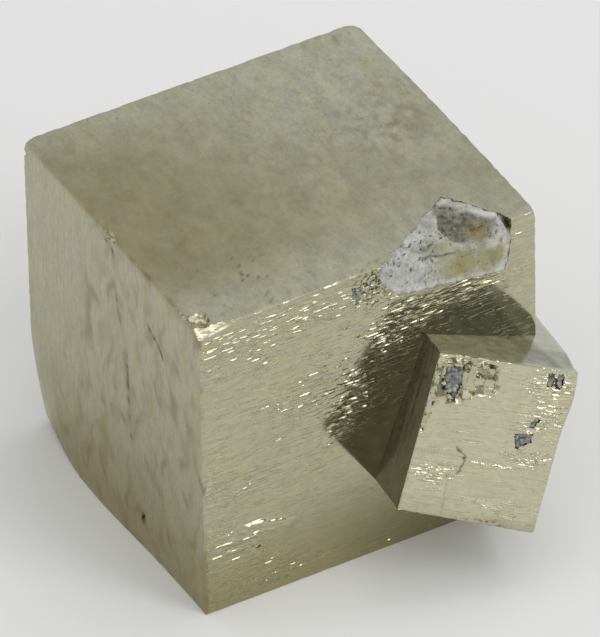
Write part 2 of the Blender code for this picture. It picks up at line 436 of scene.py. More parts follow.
class Surface:
    """A Principled material and short ways to add its nodes."""

    def __init__(self, name, roughness, metallic=0.0):
        self.material = bpy.data.materials.new(name)
        self.material.use_nodes = True
        self.tree = self.material.node_tree
        self.shader = self.tree.nodes["Principled BSDF"]
        self.shader.inputs["Roughness"].default_value = roughness
        self.shader.inputs["Metallic"].default_value = metallic
        place = self.tree.nodes.new("ShaderNodeAttribute")
        place.attribute_name = "grown"
        self.place = place.outputs["Vector"]

    def link(self, source, target):
        self.tree.links.new(source, target)
        return source

    def grain(self, size, detail=4.0, rough=0.55, stretch=(1, 1, 1), shift=(0, 0, 0)):
        """Noise whose features are about size millimetres, drawn out along the axes by stretch."""
        mapping = self.tree.nodes.new("ShaderNodeMapping")
        mapping.inputs["Scale"].default_value = [1 / (size * s) for s in stretch]
        mapping.inputs["Location"].default_value = shift
        texture = self.tree.nodes.new("ShaderNodeTexNoise")
        texture.inputs["Scale"].default_value = 1.0
        texture.inputs["Detail"].default_value = detail
        texture.inputs["Roughness"].default_value = rough
        self.link(self.place, mapping.inputs["Vector"])
        self.link(mapping.outputs["Vector"], texture.inputs["Vector"])
        return texture.outputs["Fac"]

    def painted(self, name):
        node = self.tree.nodes.new("ShaderNodeAttribute")
        node.attribute_name = name
        return node.outputs["Fac"]

    def ranged(self, value, low, high, to_low=0.0, to_high=1.0):
        node = self.tree.nodes.new("ShaderNodeMapRange")
        node.interpolation_type = "SMOOTHSTEP"
        limits = {"From Min": low, "From Max": high, "To Min": to_low, "To Max": to_high}
        for socket, number in limits.items():
            node.inputs[socket].default_value = number
        self.link(value, node.inputs["Value"])
        return node.outputs["Result"]

    def sum(self, first, second, operation="ADD"):
        node = self.tree.nodes.new("ShaderNodeMath")
        node.operation = operation
        for socket, value in zip(node.inputs, (first, second)):
            if isinstance(value, (int, float)):
                socket.default_value = value
            else:
                self.link(value, socket)
        return node.outputs[0]

    def blend(self, factor, first, second, kind="MIX"):
        node = self.tree.nodes.new("ShaderNodeMix")
        node.data_type = "RGBA"
        node.blend_type = kind
        sockets = [s for s in node.inputs if s.enabled]
        for socket, value in zip(sockets, (factor, first, second)):
            if isinstance(value, (int, float)):
                socket.default_value = value
            elif isinstance(value, (tuple, list)) or hasattr(value, "__len__"):
                socket.default_value = (*value[:3], 1.0)
            else:
                self.link(value, socket)
        return next(o for o in node.outputs if o.enabled)

    def slivers(self, size, stretch, crowding, shift):
        """Scattered thin growth ledges from 0 to 1, more of them where crowding is high."""
        ripple = self.grain(size, 2, 0.5, stretch, shift)
        level = self.sum(ripple, self.sum(crowding, 0.26, "MULTIPLY"))
        return self.ranged(level, 0.755, 0.785)

    def bump(self, height, depth, below=None):
        node = self.tree.nodes.new("ShaderNodeBump")
        node.inputs["Distance"].default_value = depth
        node.inputs["Strength"].default_value = 1.0
        self.link(height, node.inputs["Height"])
        if below:
            self.link(below, node.inputs["Normal"])
        return node.outputs["Normal"]

    def finish(self, colour=None, roughness=None, normal=None):
        for socket, value in (("Base Color", colour), ("Roughness", roughness), ("Normal", normal)):
            if value:
                self.link(value, self.shader.inputs[socket])
        return self.material


def shade(colour, factor):
    """The colour made brighter or darker by one factor, or by one for each channel."""
    return tuple(np.array(colour[:3]) * factor)


# How a striated face is finished: how far the growth lines are drawn out along each axis, how much
# they vary in tone, how strong the tarnish is, the roughness, the growth lines' depth, how bright
# the face is, and the thickness in millimetres and the height of the smallest growth ledges
FaceFinish = namedtuple(
    "FaceFinish", "stretch streaks haze roughness line_depth tone ledge_size ledge_height"
)
FRONT_FINISH = FaceFinish((40, 40, 1), 0.07, 0.35, 0.10, 0.0015 * MM, 0.93, 0.12, 0.022 * MM)
SIDE_FINISH = FaceFinish((40, 1.5, 40), 0.07, 0.55, 0.28, 0.003 * MM, 0.84, 0.12, 0.004 * MM)
TOP_TONE = (1.075, 1.13, 1.25)
TOP_FINISH = FaceFinish((1.5, 14, 14), 0.03, 0.50, 0.32, 0.002 * MM, TOP_TONE, 0.12, 0.002 * MM)
SMALL_FINISH = FaceFinish((40, 40, 1), 0.04, 0.30, 0.13, 0.0015 * MM, 0.94, 0.20, 0.04 * MM)


def drawn_out(stretch, share):
    """The stretch along each axis, with only a share of it left."""
    return [1 + (along - 1) * share for along in stretch]


def pyrite_face_material(name, look, finish):
    """Pyrite with growth lines drawn out along one axis, tarnish patches and stains."""
    surface = Surface(name, finish.roughness, metallic=1.0)
    stretch, tone = finish.stretch, finish.tone
    wide = drawn_out(stretch, 0.05)
    clouds = surface.ranged(surface.grain(1.7, 5, 0.62, wide), 0.38, 0.62)
    colour = surface.blend(clouds, shade(look.grey_colour, tone), shade(look.colour, tone))
    brown = surface.grain(0.9, 6, 0.68, wide, shift=(5, 2, 9))
    brown = surface.ranged(brown, 0.48, 0.72, 0.0, finish.haze)
    colour = surface.blend(brown, colour, look.tarnish_colour)
    lines = surface.grain(0.13, 3, 0.6, stretch)
    line_tone = surface.ranged(lines, 0.3, 0.7, 1.0 - finish.streaks, 1.0 + finish.streaks)
    colour = surface.blend(1.0, colour, line_tone, "MULTIPLY")
    mottle = surface.grain(0.40, 5, 0.75, wide, shift=(8, 8, 8))
    mottle = surface.ranged(mottle, 0.3, 0.7, 0.90, 1.09)
    colour = surface.blend(1.0, colour, mottle, "MULTIPLY")
    crowding = surface.painted("crowding")
    thick = finish.ledge_size
    short = surface.slivers(thick, drawn_out(stretch, 0.2), crowding, (4, 4, 4))
    long = surface.slivers(thick * 1.25, drawn_out(stretch, 0.5), crowding, (1, 5, 2))
    # Painted shade: thin dark hairlines along the growth lines stand in for the shade in their fine
    # crevices.
    hairlines = surface.ranged(surface.grain(0.09, 3, 0.6, drawn_out(stretch, 0.4)), 0.30, 0.42)
    colour = surface.blend(surface.sum(short, 0.35, "MULTIPLY"), colour, look.fresh_colour)
    colour = surface.blend(0.42, colour, surface.blend(hairlines, shade(look.tone_and_shade_colour, 0.75), colour))
    speckle = surface.ranged(surface.grain(0.09, 2, 0.5), 0.3, 0.7, 0.95, 1.05)
    colour = surface.blend(1.0, colour, speckle, "MULTIPLY")
    # The painted values mix the face's own darker tone with painted shade low on the large crystal's front
    # and left side.
    colour = surface.blend(surface.painted("tone_and_shade"), colour, look.tone_and_shade_colour)
    colour = surface.blend(surface.painted("rust"), colour, look.rust_colour)
    colour = surface.blend(surface.painted("grime"), colour, look.grime_colour)
    cloud = surface.ranged(surface.grain(1.9, 5, 0.6, wide, shift=(3, 3, 1)), 0.3, 0.7, 0.75, 1.35)
    rough = surface.sum(cloud, finish.roughness, "MULTIPLY")
    rough = surface.sum(rough, surface.sum(surface.painted("grime"), 0.4, "MULTIPLY"))
    fine = surface.bump(lines, finish.line_depth)
    broad = surface.bump(surface.grain(0.6, 4, 0.6, wide), finish.line_depth * 1.5, below=fine)
    ledges_on = surface.bump(surface.sum(short, long), finish.ledge_height, below=broad)
    return surface.finish(colour, rough, ledges_on)


def pyrite_side_material(name, tone):
    """The small crystal's duller, greyer sides."""
    surface = Surface(name, 0.22, metallic=1.0)
    clouds = surface.ranged(surface.grain(1.6, 5, 0.65), 0.35, 0.65)
    colour = surface.blend(clouds, shade(tone, 0.88), shade(tone, 1.10))
    fine = surface.ranged(surface.grain(0.15, 3, 0.6), 0.3, 0.7, 0.92, 1.07)
    colour = surface.blend(1.0, colour, fine, "MULTIPLY")
    # Painted shade where painted: the top's corner against the large crystal's front is darkened.
    colour = surface.blend(surface.painted("tone_and_shade"), colour, shade(tone, (0.30, 0.28, 0.22)))
    rough = surface.ranged(surface.grain(0.9, 4, 0.6, shift=(2, 5, 1)), 0.3, 0.7, 0.12, 0.26)
    normal = surface.bump(surface.grain(0.4, 5, 0.65), 0.004 * MM)
    return surface.finish(colour, rough, normal)


def broken_pyrite_material(name, look):
    """Fresh, granular fracture surfaces: bright and glittering."""
    surface = Surface(name, 0.3, metallic=1.0)
    clouds = surface.ranged(surface.grain(0.35, 5, 0.7), 0.35, 0.65)
    colour = surface.blend(clouds, shade(look.colour, 0.45), shade(look.fresh_colour, 0.75))
    colour = surface.blend(surface.painted("grime"), colour, look.grime_colour)
    rough = surface.ranged(surface.grain(0.5, 4, 0.6, shift=(1, 7, 2)), 0.3, 0.7, 0.14, 0.36)
    normal = surface.bump(surface.grain(0.25, 6, 0.7), 0.04 * MM)
    return surface.finish(colour, rough, normal)


def marl_material(name, look, pale):
    """Powdery, grainy marl; painted values say where it is dark, brown, rusty or specked."""
    surface = Surface(name, 0.92)
    clouds = surface.ranged(surface.grain(0.9, 6, 0.7), 0.3, 0.7)
    colour = surface.blend(clouds, shade(pale, 0.78), shade(pale, 1.12))
    colour = surface.blend(surface.painted("rim"), colour, look.rim_colour)
    dark_clouds = surface.ranged(surface.grain(0.7, 6, 0.7, shift=(2, 0, 5)), 0.3, 0.7)
    dark = surface.blend(dark_clouds, shade(look.hollow_colour, 0.6), shade(look.hollow_colour, 1.5))
    colour = surface.blend(surface.painted("hollow"), colour, dark)
    colour = surface.blend(surface.painted("brown"), colour, look.brown_colour)
    stains = surface.ranged(surface.grain(0.5, 5, 0.7, shift=(7, 0, 1)), 0.32, 0.52)
    ochre = surface.sum(surface.painted("rust"), stains, "MULTIPLY")
    colour = surface.blend(ochre, colour, look.ochre_colour)
    colour = surface.blend(surface.painted("specks"), colour, look.speck_colour)
    fine = surface.ranged(surface.grain(0.1, 4, 0.7), 0.3, 0.7, 0.84, 1.12)
    colour = surface.blend(1.0, colour, fine, "MULTIPLY")
    normal = surface.bump(surface.grain(0.16, 6, 0.7), 0.05 * MM)
    return surface.finish(colour, None, normal)


# ---------------------------------------------------------------- properties


def colour_property(name, description, default):
    return FloatVectorProperty(
        name=name, description=description, subtype="COLOR", size=3, default=default, min=0, max=1
    )


def length_property(name, description, default, largest):
    return FloatProperty(
        name=name, description=description, subtype="DISTANCE", unit="LENGTH",
        default=default, min=0, max=largest,
    )


class LargeCrystalLook(bpy.types.PropertyGroup):
    colour: colour_property("Colour", "Reflection colour of the yellower faces", (0.560, 0.530, 0.345))
    grey_colour: colour_property(
        "Grey patches", "Reflection colour of the greyer patches", (0.535, 0.520, 0.375)
    )
    tarnish_colour: colour_property("Tarnish", "Colour of the brown tarnish clouds", (0.45, 0.39, 0.26))
    # Also painted shade: this tone is laid low on the front and the left side for the shadowed floor they
    # reflect, and on the dark hairlines.
    tone_and_shade_colour: colour_property(
        "Lower tone", "Darker, browner tone near the base", (0.35, 0.31, 0.155)
    )
    fresh_colour: colour_property(
        "Fresh break", "Reflection colour of chipped places", (0.86, 0.80, 0.58)
    )
    rust_colour: colour_property("Rust", "Colour of the ochre stains", (0.28, 0.23, 0.115))
    grime_colour: colour_property("Grime", "Colour of dirt in pits and cracks", (0.05, 0.045, 0.035))
    step_height: length_property(
        "Step height", "Height of the small ledges on the front", 0.070 * MM, 0.5 * MM
    )
    worn_corner: length_property(
        "Worn corner", "How far the lower left back corner is worn in", 1.4 * MM, 6 * MM
    )


class SmallCrystalLook(bpy.types.PropertyGroup):
    colour: colour_property("Colour", "Reflection colour of the outer face", (0.635, 0.600, 0.410))
    grey_colour: colour_property(
        "Grey patches", "Reflection colour of the greyer patches", (0.605, 0.590, 0.430)
    )
    top_colour: colour_property(
        "Top colour", "Reflection colour of the top and the hidden sides", (0.535, 0.555, 0.45)
    )
    # Partly tarnish and partly painted shade: the left side is kept very dark for the deep crease it forms
    # with the large crystal's front.
    left_shaded_colour: colour_property(
        "Left colour", "Reflection colour of the dark, tarnished left side", (0.160, 0.145, 0.097)
    )
    tarnish_colour: colour_property("Tarnish", "Colour of the tarnish clouds", (0.58, 0.53, 0.38))
    # Also the colour of the painted shade in the thin dark hairlines.
    tone_and_shade_colour: colour_property("Lower tone", "Darker tone along the ragged edges", (0.30, 0.27, 0.18))
    fresh_colour: colour_property(
        "Fresh break", "Reflection colour of chipped places", (0.88, 0.83, 0.62)
    )
    rust_colour: colour_property("Rust", "Colour of the brown stains", (0.20, 0.13, 0.09))
    grime_colour: colour_property("Grime", "Colour of dirt in pits and cracks", (0.05, 0.045, 0.035))
    step_height: length_property(
        "Step height", "Height of the tall terraces on the outer face", 0.12 * MM, 0.5 * MM
    )


class MarlLook(bpy.types.PropertyGroup):
    crust_colour: colour_property("Crust", "Colour of the pale crust in the notch", (0.52, 0.535, 0.49))
    hollow_colour: colour_property(
        "Hollow", "Colour of the grey marl deep in the notch", (0.205, 0.20, 0.16)
    )
    ochre_colour: colour_property("Ochre", "Colour of the yellow-brown stains", (0.36, 0.28, 0.10))
    grain_colour: colour_property(
        "Grains", "Colour of the blue-grey grains in the pits", (0.28, 0.295, 0.265)
    )
    rim_colour: colour_property("Rim", "Colour of the white, sugary rim", (0.66, 0.66, 0.64))
    brown_colour: colour_property("Brown", "Colour of the smoother brown part", (0.355, 0.335, 0.175))
    speck_colour: colour_property(
        "Specks", "Colour of the dark specks in the marl", (0.07, 0.075, 0.08)
    )
    hollow_depth: length_property(
        "Hollow depth", "How far the hollow reaches in below the cube's edge", 3.0 * MM, 5 * MM
    )


class StageLook(bpy.types.PropertyGroup):
    floor_colour: colour_property("Floor", "Colour of the pale floor", (0.79, 0.795, 0.79))
    key_power: FloatProperty(
        name="Key light", description="Power of the soft light above the front",
        subtype="POWER", unit="POWER", default=2.0, min=0,
    )
    sky: FloatProperty(name="Surround", description="Brightness of the light tent", default=0.63, min=0)


# ---------------------------------------------------------------- large crystal

# Where little ledges crowd on the front: distance right and up from its lower left corner, the
# size of the patch both ways, and how crowded it is
LEDGE_PATCHES = (
    (1.2, 26.5, 2.0, 2.5, 0.40),
    (8.0, 27.8, 9.0, 1.6, 0.40),
    (6.1, 24.6, 1.3, 1.2, 0.50),
    (9.0, 19.5, 3.2, 2.4, 0.40),
    (12.9, 14.8, 1.6, 1.4, 0.40),
    (14.0, 17.8, 2.0, 2.6, 0.55),
    (18.5, 23.2, 3.2, 2.0, 0.60),
    (25.0, 24.3, 5.5, 1.3, 0.60),
    (15.8, 10.5, 3.0, 4.5, -0.50),
    (25.0, 20.0, 5.0, 2.0, -0.20),
    (13.0, 4.0, 6.0, 3.0, -0.22),
    (4.0, 5.8, 1.7, 1.6, 0.55),
    (1.6, 7.6, 1.3, 2.0, 0.35),
    (5.5, 3.6, 3.0, 0.9, 0.40),
    (1.0, 13.5, 1.5, 4.0, 0.30),
    (0.4, 3.0, 0.8, 4.0, 0.60),
    (5.0, 12.5, 4.0, 1.4, 0.25),
    (10.0, 2.0, 6.0, 0.9, 0.30),
    (3.5, 1.2, 4.5, 0.8, 0.50),
)
# The overlapping layer low on the left of the front: its upper edge's middle, and how much the
# layer falls towards the right
SHINGLE_CENTRE = (6.0, 8.0)
SHINGLE_FALL = -0.24
# The broken spot at the front's upper edge
ROUGH_SPOT = (16.3, 28.6)
# The scales below the layer: how many, round which place and how widely scattered
SCALE_COUNT = 26
SCALE_CENTRE = np.array((3.6, 6.2))
SCALE_SPREAD = np.array((1.7, 1.2))


def scales(x, z):
    """Short raised scales crowded on the front's lower left."""
    chance = np.random.default_rng(71)
    total = np.zeros(np.shape(x))
    for _ in range(SCALE_COUNT):
        across, up = SCALE_CENTRE + SCALE_SPREAD * chance.normal(size=2)
        wide, high = chance.uniform(0.2, 0.5), chance.uniform(0.12, 0.18)
        total += blob(x, z + 0.2 * (x - across), across, up, wide, high)
    return np.minimum(total, 1)


def front_crowding(x, z):
    crowding = 0.50 + patches(x, z, LEDGE_PATCHES)
    return np.clip(crowding + 0.22 * noise(x / 2.5, z / 1.2, seed=14), 0, 0.85)


def large_front_relief(x, z, step_mm):
    bend = 0.12 * noise(x / 5, z / 3, seed=11)
    across = z + bend
    crowding = front_crowding(x, z)
    height = step_mm * 0.8 * ledges(x, across, 1.3, 0.21, 0.9 * crowding, 21)
    height += step_mm * 0.7 * ledges(x, across, 0.8, 0.15, crowding, 31)
    height += step_mm * 0.4 * ledges(x, across, 3.5, 0.22, 0.40, 41)
    away_x, away_z = x - SHINGLE_CENTRE[0], z - SHINGLE_CENTRE[1]
    along, up = away_x + SHINGLE_FALL * away_z, away_z - SHINGLE_FALL * away_x
    below = -0.18 * noise(along / 1.2, up / 2, seed=15) - 0.05 * along**2 - up
    below = below + 0.10 * noise(along / 0.4, up / 0.4, seed=25)
    shingle = step_between(0.0, 0.45, below) * step_between(4.0, 0.6, below)
    height += 0.22 * shingle * step_between(3.3, 2.0, np.abs(along)) + 0.13 * scales(x, z)
    height += 0.006 * noise(x / 6, z / 3.5, seed=16)
    rough = step_between(0.25, 0.6, blob(x, z, *ROUGH_SPOT, 2.0, 2.4) + 0.15 * noise(x, z, seed=17))
    return height + rough * facets(x, z, 0.30, 0.55, 18)[0]


def large_side_relief(y, z):
    bend = 0.8 * noise(y / 5, z / 8, seed=12)
    across = y + bend
    broad = 0.035 * fractal(across / 2.6, z / 14.0, seed=22, octaves=2)
    crowding = 0.28 + 0.25 * noise(y / 5, z / 6, seed=42)
    return broad + 0.03 * ledges(z, across, 2.4, 0.4, crowding, 32)


def large_top_relief(x, y):
    height = 0.02 * fractal(x / 6.0, y / 9.0, seed=13, octaves=2)
    height += 0.02 * ledges(y, x + 0.5 * noise(x / 4, y / 4, seed=24), 3.0, 0.6, 0.25, 23)
    rough = step_between(0.25, 0.6, blob(x, y, ROUGH_SPOT[0] - 0.3, 0.0, 1.7, 1.4))
    return height + rough * facets(x, y, 0.30, 0.5, 19)[0]


def large_relief(side, place):
    """Heights out of each side; the shift on the far sides keeps them from being copies."""
    if side == "bottom":
        return np.zeros(len(place))
    x, y, z = place.T
    far_side = SIDES[side][1]
    if side in ("front", "back"):
        step_mm = bpy.context.scene.large_crystal.step_height / MM
        height = large_front_relief(x + 40 * far_side, z, step_mm)
    elif side in ("left", "right"):
        height = large_side_relief(y + 50 * far_side, z)
    else:
        height = large_top_relief(x, y + 60 * far_side)
    return height * step_between(0.0, 0.6, edge_inset(side, place, LARGE_SIZE_MM))


def large_wear(place):
    x, y, z = place.T
    bitten = step_between(0.05, 0.5, noise(x / 1.1, y / 1.1, z / 1.1, seed=51))
    return 0.014 + 0.09 * bitten * (0.6 + 0.4 * noise(x / 0.3, y / 0.3, z / 0.3, seed=52))


# The upper corners that are blunt: side of the box on each axis, reach and depth in millimetres
BLUNT_CORNERS = (
    ((0, 1, 1), 1.2, 0.30),
    ((1, 1, 1), 1.1, 0.28),
    ((1, 0, 1), 0.9, 0.18),
)
WORN_REACH = (9.5, 9.0, 10.5)


def large_warp(points, worn_mm):
    """Draws the plain box into the crystal's slightly swollen, worn shape."""
    x, y, z = points.T
    right = step_between(14.0, WIDTH_MM, x)
    narrow = 0.33 - 0.18 * np.sin(math.pi * np.clip(y / DEPTH_MM, 0, 1))
    moved = points.copy()
    moved[:, 0] -= right * narrow
    moved[:, 0] -= 0.45 * step_between(8.0, 0.0, x) * blob(y, z, 18.0, 0.0, 8.0, 6.0)
    to_corner = np.stack([x, DEPTH_MM - y, z], 1) / np.array(WORN_REACH)
    near = np.clip(1 - to_corner.sum(1), 0, 1) ** 1.5
    moved += (near * worn_mm)[:, None] * np.array([1, -1, 1]) / math.sqrt(3)
    for corner, reach, depth in BLUNT_CORNERS:
        side = np.array(corner)
        away = np.where(side, LARGE_SIZE_MM - points, points).sum(1) / reach
        near = np.clip(1 - away, 0, 1) ** 1.3
        moved += (near * depth)[:, None] * (1 - 2 * side) / math.sqrt(3)
    return moved


# Bites out of the edges: centre, size, turn, unevenness and seed, in millimetres from the lower
# front left corner
EDGE_BITES = (
    ((0.75, 1.50, 30.65), (1.6, 1.2, 0.95), (0.15, 0.1, 0.0), 0.25, 61),
    ((5.0, -0.02, 5.4), (0.26, 0.22, 0.20), (0.0, 0.0, 0.0), 0.25, 68),
    ((16.0, -0.05, 6.9), (0.14, 0.12, 0.14), (0.0, 0.0, 0.0), 0.25, 69),
    ((-0.35, 3.0, 30.45), (0.75, 2.5, 0.80), (0.1, 0.0, 0.1), 0.22, 62),
    ((-0.30, 15.2, 30.25), (0.80, 1.4, 0.80), (0.0, 0.2, 0.2), 0.22, 63),
    ((-0.1, 10.4, 3.15), (0.35, 0.20, 0.62), (0.5, 0.0, 0.0), 0.22, 64),
    ((-0.05, 30.0, 28.7), (0.35, 0.45, 0.4), (0.0, 0.0, 0.0), 0.22, 66),
    ((5.5, -0.2, 30.3), (1.6, 0.4, 0.45), (0.0, 0.0, 0.0), 0.22, 67),
)
# The smooth facet along the upper front edge: its length, depth and ragged end, in millimetres
FACET_LENGTH = 4.3
FACET_DEPTH = 0.55
FACET_END = 0.8


def facet_cutter():
    x_lines, up_lines = np.linspace(-1.0, FACET_LENGTH + 1.5, 60), np.linspace(-2.5, 2.5, 60)
    x, up = np.meshgrid(x_lines, up_lines, indexing="ij")
    floor = 0.08 * x + 0.012 * x**2 - FACET_DEPTH
    floor = floor + 0.015 * fractal(x / 0.9, up / 0.7, seed=60, octaves=3)
    ragged = x + 0.25 * noise(x / 0.5, up / 0.4, seed=26)
    floor += 1.2 * FACET_DEPTH * step_between(FACET_LENGTH - FACET_END, FACET_LENGTH, ragged)
    return new_object("facet", *frame_grid(x_lines, up_lines, floor, np.full(x.shape, 5.0)))


def to_frame(points):
    return points * MM + np.array(LARGE_LOW)


def from_frame(points):
    return (points - np.array(LARGE_LOW)) / MM


# ---------------------------------------------------------------- the notch

# How far the straight column that cuts the notch reaches in below and out above the cube's edge
NOTCH_FLOOR_MM = -9.0
NOTCH_TOP_MM = 8.0
NOTCH_SEED = 73

# Outline of the notch seen straight into it: distance left of the upper front right corner, and
# distance up the slope between the two faces (below zero on the front face)
NOTCH_OUTLINE = (
    (2.65, 0.0), (2.95, 0.7), (3.9, 1.7), (5.0, 3.0), (6.1, 4.0), (7.5, 3.35), (8.8, 2.9), (10.0, 2.2),
    (11.0, 1.9), (12.0, 1.25), (13.2, 0.9), (14.5, 0.3), (15.4, -0.4), (15.0, -1.1), (14.3, -1.9),
    (13.3, -2.6), (11.9, -2.75), (9.8, -2.9), (7.7, -3.15), (5.4, -3.4), (3.4, -3.6), (2.95, -3.0),
    (2.7, -1.6),
)


def notch_outline_points(grow, seed, jag=0.12):
    """The outline with small random teeth, in millimetres along x and up the slope."""
    corners = np.array(NOTCH_OUTLINE)
    corners[:, 0] = WIDTH_MM - corners[:, 0]
    closed = np.vstack([corners, corners[:1]])
    rows = []
    for first, second in zip(closed[:-1], closed[1:]):
        count = max(2, int(np.hypot(*(second - first)) / 0.15))
        rows.extend(first + (second - first) * k / count for k in range(count))
    points = np.array(rows)
    middle = points.mean(0)
    outward = points - middle
    outward /= np.linalg.norm(outward, axis=1)[:, None]
    teeth = jag * fractal(points[:, 0] / 0.6, points[:, 1] / 0.6, seed=seed, octaves=3)
    return points + outward * (grow + teeth)[:, None]


def notch_to_frame(points):
    """From millimetres (x, up the slope, out of the notch), from the middle of the cube's edge line."""
    up, out = np.array(UP_THE_NOTCH), np.array(OUT_OF_NOTCH)
    placed = points[:, 1:2] * up + points[:, 2:3] * out
    placed[:, 0] += points[:, 0]
    edge = np.array([LARGE_LOW.x, LARGE_LOW.y, LARGE_HIGH.z])
    return placed * MM + edge


# In the notch, as distance left of the upper front right corner and distance up the slope
HOLLOW = (
    (7.3, 3.6), (8.35, 1.0), (7.5, -0.1), (5.3, -0.95), (4.2, -0.7), (3.7, 0.4), (4.7, 1.9), (5.9, 3.4),
)
BROWN_PART = ((7.6, -0.9), (4.9, -1.2), (4.0, -1.9), (3.9, -3.0), (5.0, -3.3), (7.2, -2.8), (8.0, -1.7))
WHITE_RIM = ((4.9, 1.7), (3.7, 0.9), (3.15, 0.0), (3.25, -1.9), (3.7, -3.1))
LOWER_RIM = ((4.0, -3.4), (7.0, -3.1), (11.0, -2.6), (14.3, -2.0))
CRACK_LINE = ((10.7, -0.45), (9.9, -0.5), (9.2, -0.75), (7.9, -0.9))
PALE_STREAK = ((6.3, 3.6), (5.2, 2.5), (4.2, 1.5))
RIM_STEP = (2.75, -0.1)


def notch_depth(x, up, depth_mm):
    """How far the marl lies below the cube's uncut edge, looking into the notch."""
    left = WIDTH_MM - x
    roof = np.abs(up) + 0.12
    middle = 1.15 + 0.2 * noise(left / 2.5, up / 2.0, seed=71)
    ridge = np.maximum(roof, middle)
    inner = inside_distance(left + 0.2 * noise(left, up, seed=78), up, HOLLOW)
    gentle = 0.35 + 1.3 * step_between(7.6, 5.0, left)
    deep = step_between(-0.15, gentle, inner)
    floor = depth_mm - 1.3 * step_between(7.4, 3.6, left)
    hollow = deep * np.maximum(floor - ridge, 0.3)
    brown = 0.55 * step_between(0.0, 0.5, inside_distance(left, up, BROWN_PART))
    sag = 0.45 * blob(left, up, 10.5, 0.1, 2.0, 0.8)
    rim = 0.35 * np.exp(-((line_distance(left, up, WHITE_RIM) / 0.35) ** 2))
    step = 0.45 * blob(left, up, *RIM_STEP, 0.3, 0.5)
    return ridge + hollow + brown + sag - rim + step


def notch_walls(name, grow):
    """A straight column with the notch's jagged outline, running out of the cube."""
    editor = bmesh.new()
    rim = [editor.verts.new((x, up, NOTCH_FLOOR_MM)) for x, up in notch_outline_points(grow, NOTCH_SEED)]
    cap = editor.faces.new(rim)
    grown = bmesh.ops.extrude_face_region(editor, geom=[cap])
    raised = [item for item in grown["geom"] if isinstance(item, bmesh.types.BMVert)]
    bmesh.ops.translate(editor, verts=raised, vec=(0, 0, NOTCH_TOP_MM - NOTCH_FLOOR_MM))
    bmesh.ops.recalc_face_normals(editor, faces=editor.faces[:])
    bmesh.ops.triangulate(editor, faces=editor.faces[:])
    points = np.array([vertex.co for vertex in editor.verts])
    faces = [[vertex.index for vertex in face.verts] for face in editor.faces]
    editor.free()
    return new_object(name, notch_to_frame(points), faces)


def notch_field(cell, margin=0.6):
    outline = notch_outline_points(0, NOTCH_SEED)
    low, high = outline.min(0) - margin, outline.max(0) + margin
    x_lines = np.arange(low[0], high[0], cell)
    up_lines = np.arange(low[1], high[1], cell)
    x, up = np.meshgrid(x_lines, up_lines, indexing="ij")
    return x_lines, up_lines, x, up


def notch_cutter(depth_mm):
    """What is missing from the large crystal: a jagged hole whose floor lies under the marl."""
    x_lines, up_lines, x, up = notch_field(0.3)
    floor = -notch_depth(x, up, depth_mm) - 0.45
    cutter = new_object("notch_cutter", *frame_grid(x_lines, up_lines, floor, np.full(x.shape, 9.0)))
    boolean(cutter, notch_walls("notch_walls", 0.0), "INTERSECT")
    return cutter


def frame_grid(x_lines, up_lines, low, high):
    points, faces = grid_solid_mesh(x_lines, up_lines, high, low)
    return notch_to_frame(points), faces


# ---------------------------------------------------------------- small crystal


def crystal_axes(node):
    """The node's own right, inward and upward directions, read from its largest flat faces."""
    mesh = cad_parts[node].data
    axes = []
    for wanted in (Vector((1, 0, 0)), Vector((0, 1, 0))):
        facing = [face for face in mesh.polygons if face.normal.dot(wanted) > 0.8]
        axes.append(max(facing, key=lambda face: face.area).normal.copy())
    right, inward = axes
    upward = right.cross(inward).normalized()
    right = inward.cross(upward).normalized()
    return np.array([right, inward, upward])


SMALL_AXES = crystal_axes("small_crystal")
SMALL_POINTS = positions(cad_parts["small_crystal"].data) @ SMALL_AXES.T
SMALL_LOW, SMALL_HIGH = SMALL_POINTS.min(0), SMALL_POINTS.max(0)
SMALL_SIZE_MM = (SMALL_HIGH - SMALL_LOW) / MM


def small_to_frame(points):
    """From millimetres along the small crystal's axes, from its outer lower left corner."""
    return (points * MM + SMALL_LOW) @ SMALL_AXES


def frame_to_small(points):
    return (points @ SMALL_AXES.T - SMALL_LOW) / MM


# Risers across the outer face: a broken line of (distance right, distance down from the top),
# below which the face stands further out, and by how many step heights
RISERS = (
    (((0.0, 10.4), (1.5, 10.1), (4.1, 9.9), (4.6, 9.0), (8.8, 9.1), (9.6, 8.6), (12.3, 7.7)), 1.0),
    (((0.0, 1.0), (2.4, 1.3), (3.6, 0.7), (4.3, 2.5), (6.0, 2.7), (8.3, 2.0), (12.3, 2.3)), 0.55),
    (((0.0, 12.6), (3.0, 12.4), (6.5, 12.9), (9.0, 12.4), (12.3, 12.0)), 0.4),
)
SMALL_LEDGE_PATCHES = (
    (10.6, 4.0, 2.0, 3.0, 0.75),
    (10.2, 8.3, 1.6, 0.7, 0.90),
    (2.0, 10.6, 2.2, 1.0, 0.85),
    (1.2, 0.4, 2.2, 0.6, 0.80),
    (8.5, 12.8, 3.5, 1.1, 0.50),
    (10.5, 1.2, 2.6, 1.1, 0.70),
    (4.5, 6.5, 3.0, 1.0, 0.25),
)
# Blocky broken places on the outer face, and how rough they are
CHUNKS = (
    (1.9, 2.2, 2.2, 2.2, 1.0),
    (4.9, 2.3, 1.1, 0.8, 1.0),
    (4.6, 0.9, 1.2, 0.5, 0.8),
    (10.7, 1.0, 0.7, 0.6, 0.7),
    (9.5, 6.1, 0.7, 0.6, 0.6),
    (10.2, 8.3, 0.9, 0.35, 0.7),
    (0.2, 4.5, 0.35, 2.8, 0.9),
)
SMALL_FACETS = (0.75, 0.70, 98)
SMALL_SCRATCH = ((3.55, 11.3), (3.7, 12.4), (3.8, 14.0))


def small_crowding(right, down):
    crowding = 0.22 + 0.2 * noise(right / 3.0, down / 1.2, seed=87)
    return crowding + patches(right, down, SMALL_LEDGE_PATCHES)


